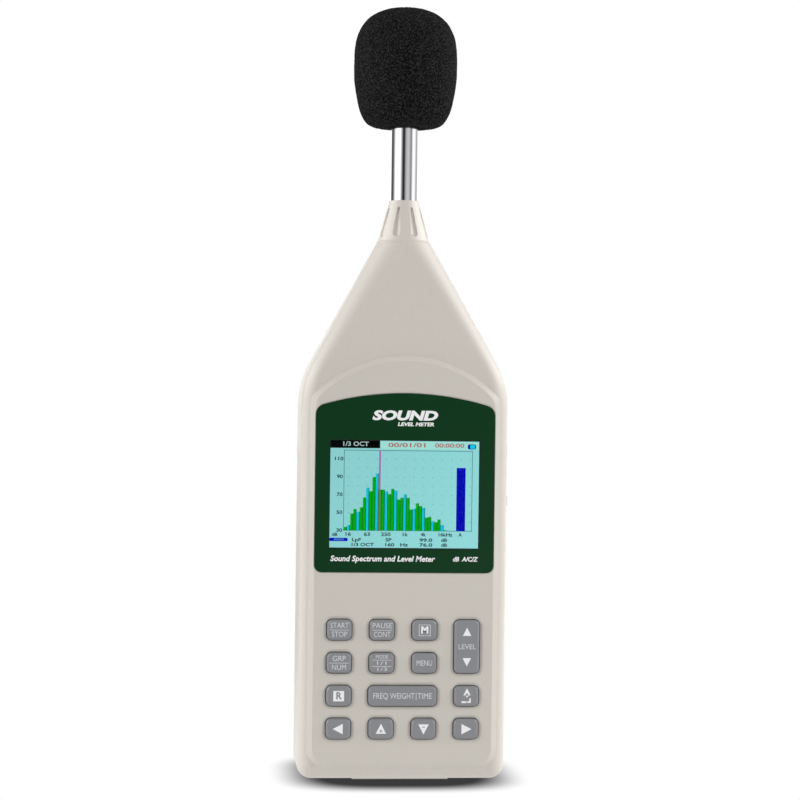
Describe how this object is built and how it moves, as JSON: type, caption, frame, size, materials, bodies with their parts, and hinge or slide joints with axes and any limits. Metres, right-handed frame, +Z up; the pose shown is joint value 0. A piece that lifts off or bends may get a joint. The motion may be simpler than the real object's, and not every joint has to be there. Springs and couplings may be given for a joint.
{
  "type": "sound level meter",
  "caption": "Hand-held sound level and octave band meter: tapered case, colour display, keypad, plated microphone stem and foam windscreen.",
  "frame": {"origin": "middle of the underside of the foot pad, on which the meter stands", "axes": "+Z up along the stem, the display faces -Y, +X on the right of a person reading the display"},
  "size_m": [0.0985, 0.0532, 0.3628],
  "materials": {
    "case": "fine moulded texture",
    "key_grey": "satin",
    "overlay_green": "printed film",
    "window_clear": "clear acrylic",
    "display": "colour display",
    "backlight": "white diffuser",
    "plated": "polished",
    "steel": "satin",
    "ribbon": "polyimide film",
    "silicone": "matt",
    "board": "solder mask",
    "black_plastic": "moulded",
    "white_plastic": "moulded",
    "socket_metal": "plated sheet",
    "insert_brass": "turned",
    "cell_wrap": "printed wrap",
    "lead": "insulation",
    "foam": "open-cell foam"
  },
  "bodies": {
    "meter_body": {"audio_jacks": "black_plastic", "battery_cells": "cell_wrap", "battery_leads": "lead", "battery_plates": "steel", "battery_springs": "steel", "battery_tray": "black_plastic", "board_chips": "black_plastic", "board_connectors": "white_plastic", "board_screws": "steel", "case_screws": "steel", "data_socket": "socket_metal", "dc_jack": "black_plastic", "display_overlay": "overlay_green", "display_window": "window_clear", "foot_pad": "case", "front_case": "case", "keypad_mat": "silicone", "lcd_backlight": "backlight", "lcd_bezel": "steel", "lcd_glass": "display", "lcd_ribbon": "ribbon", "main_board": "board", "mic_backplate": "steel", "mic_diaphragm": "steel", "mic_grid": "plated", "mic_housing": "plated", "mic_insulator": "white_plastic", "mic_lead": "lead", "nose_cone": "case", "power_switch_body": "black_plastic", "preamp_board": "board", "preamp_tube": "plated", "rear_case": "case", "tripod_insert": "insert_brass"},
    "key_start_stop": {"key_start_stop": "key_grey"},
    "key_pause": {"key_pause": "key_grey"},
    "key_memory": {"key_memory": "key_grey"},
    "key_group_number": {"key_group_number": "key_grey"},
    "key_band_mode": {"key_band_mode": "key_grey"},
    "key_menu": {"key_menu": "key_grey"},
    "key_record": {"key_record": "key_grey"},
    "key_enter": {"key_enter": "key_grey"},
    "key_left": {"key_left": "key_grey"},
    "key_up": {"key_up": "key_grey"},
    "key_down": {"key_down": "key_grey"},
    "key_right": {"key_right": "key_grey"},
    "key_level": {"key_level": "key_grey"},
    "key_weight_time": {"key_weight_time": "key_grey"},
    "power_switch_knob": {"power_switch_knob": "case"},
    "windscreen": {"windscreen": "foam"},
    "battery_door": {"battery_door": "case"}
  },
  "joints": [
    {"name": "key_start_stop_press", "type": "slide", "parent": "meter_body", "child": "key_start_stop", "axis": [0, 1, 0], "range_m": [0, 0.001], "stiffness_N_per_m": 300},
    {"name": "key_pause_press", "type": "slide", "parent": "meter_body", "child": "key_pause", "axis": [0, 1, 0], "range_m": [0, 0.001], "stiffness_N_per_m": 300},
    {"name": "key_memory_press", "type": "slide", "parent": "meter_body", "child": "key_memory", "axis": [0, 1, 0], "range_m": [0, 0.001], "stiffness_N_per_m": 300},
    {"name": "key_group_number_press", "type": "slide", "parent": "meter_body", "child": "key_group_number", "axis": [0, 1, 0], "range_m": [0, 0.001], "stiffness_N_per_m": 300},
    {"name": "key_band_mode_press", "type": "slide", "parent": "meter_body", "child": "key_band_mode", "axis": [0, 1, 0], "range_m": [0, 0.001], "stiffness_N_per_m": 300},
    {"name": "key_menu_press", "type": "slide", "parent": "meter_body", "child": "key_menu", "axis": [0, 1, 0], "range_m": [0, 0.001], "stiffness_N_per_m": 300},
    {"name": "key_record_press", "type": "slide", "parent": "meter_body", "child": "key_record", "axis": [0, 1, 0], "range_m": [0, 0.001], "stiffness_N_per_m": 300},
    {"name": "key_enter_press", "type": "slide", "parent": "meter_body", "child": "key_enter", "axis": [0, 1, 0], "range_m": [0, 0.001], "stiffness_N_per_m": 300},
    {"name": "key_left_press", "type": "slide", "parent": "meter_body", "child": "key_left", "axis": [0, 1, 0], "range_m": [0, 0.001], "stiffness_N_per_m": 300},
    {"name": "key_up_press", "type": "slide", "parent": "meter_body", "child": "key_up", "axis": [0, 1, 0], "range_m": [0, 0.001], "stiffness_N_per_m": 300},
    {"name": "key_down_press", "type": "slide", "parent": "meter_body", "child": "key_down", "axis": [0, 1, 0], "range_m": [0, 0.001], "stiffness_N_per_m": 300},
    {"name": "key_right_press", "type": "slide", "parent": "meter_body", "child": "key_right", "axis": [0, 1, 0], "range_m": [0, 0.001], "stiffness_N_per_m": 300},
    {"name": "key_level_rock", "type": "hinge", "parent": "meter_body", "child": "key_level", "pos_m": [0.0297, -0.0219, 0.06285], "axis": [1, 0, 0], "range_deg": [-3, 3], "stiffness_Nm_per_rad": 0.05},
    {"name": "key_weight_time_rock", "type": "hinge", "parent": "meter_body", "child": "key_weight_time", "pos_m": [0, -0.0219, 0.0399], "axis": [0, 0, 1], "range_deg": [-2.5, 2.5], "stiffness_Nm_per_rad": 0.05},
    {"name": "power_switch_slide", "type": "slide", "parent": "meter_body", "child": "power_switch_knob", "axis": [0, 0, 1], "range_m": [0, 0.004]},
    {"name": "windscreen_pull", "type": "slide", "parent": "meter_body", "child": "windscreen", "axis": [0, 0, 1], "range_m": [0, 0.075]},
    {"name": "battery_door_tilt", "type": "hinge", "parent": "meter_body", "child": "battery_door", "pos_m": [0, 0.025, 0.0175], "axis": [-1, 0, 0], "range_deg": [0, 70]}
  ]
}
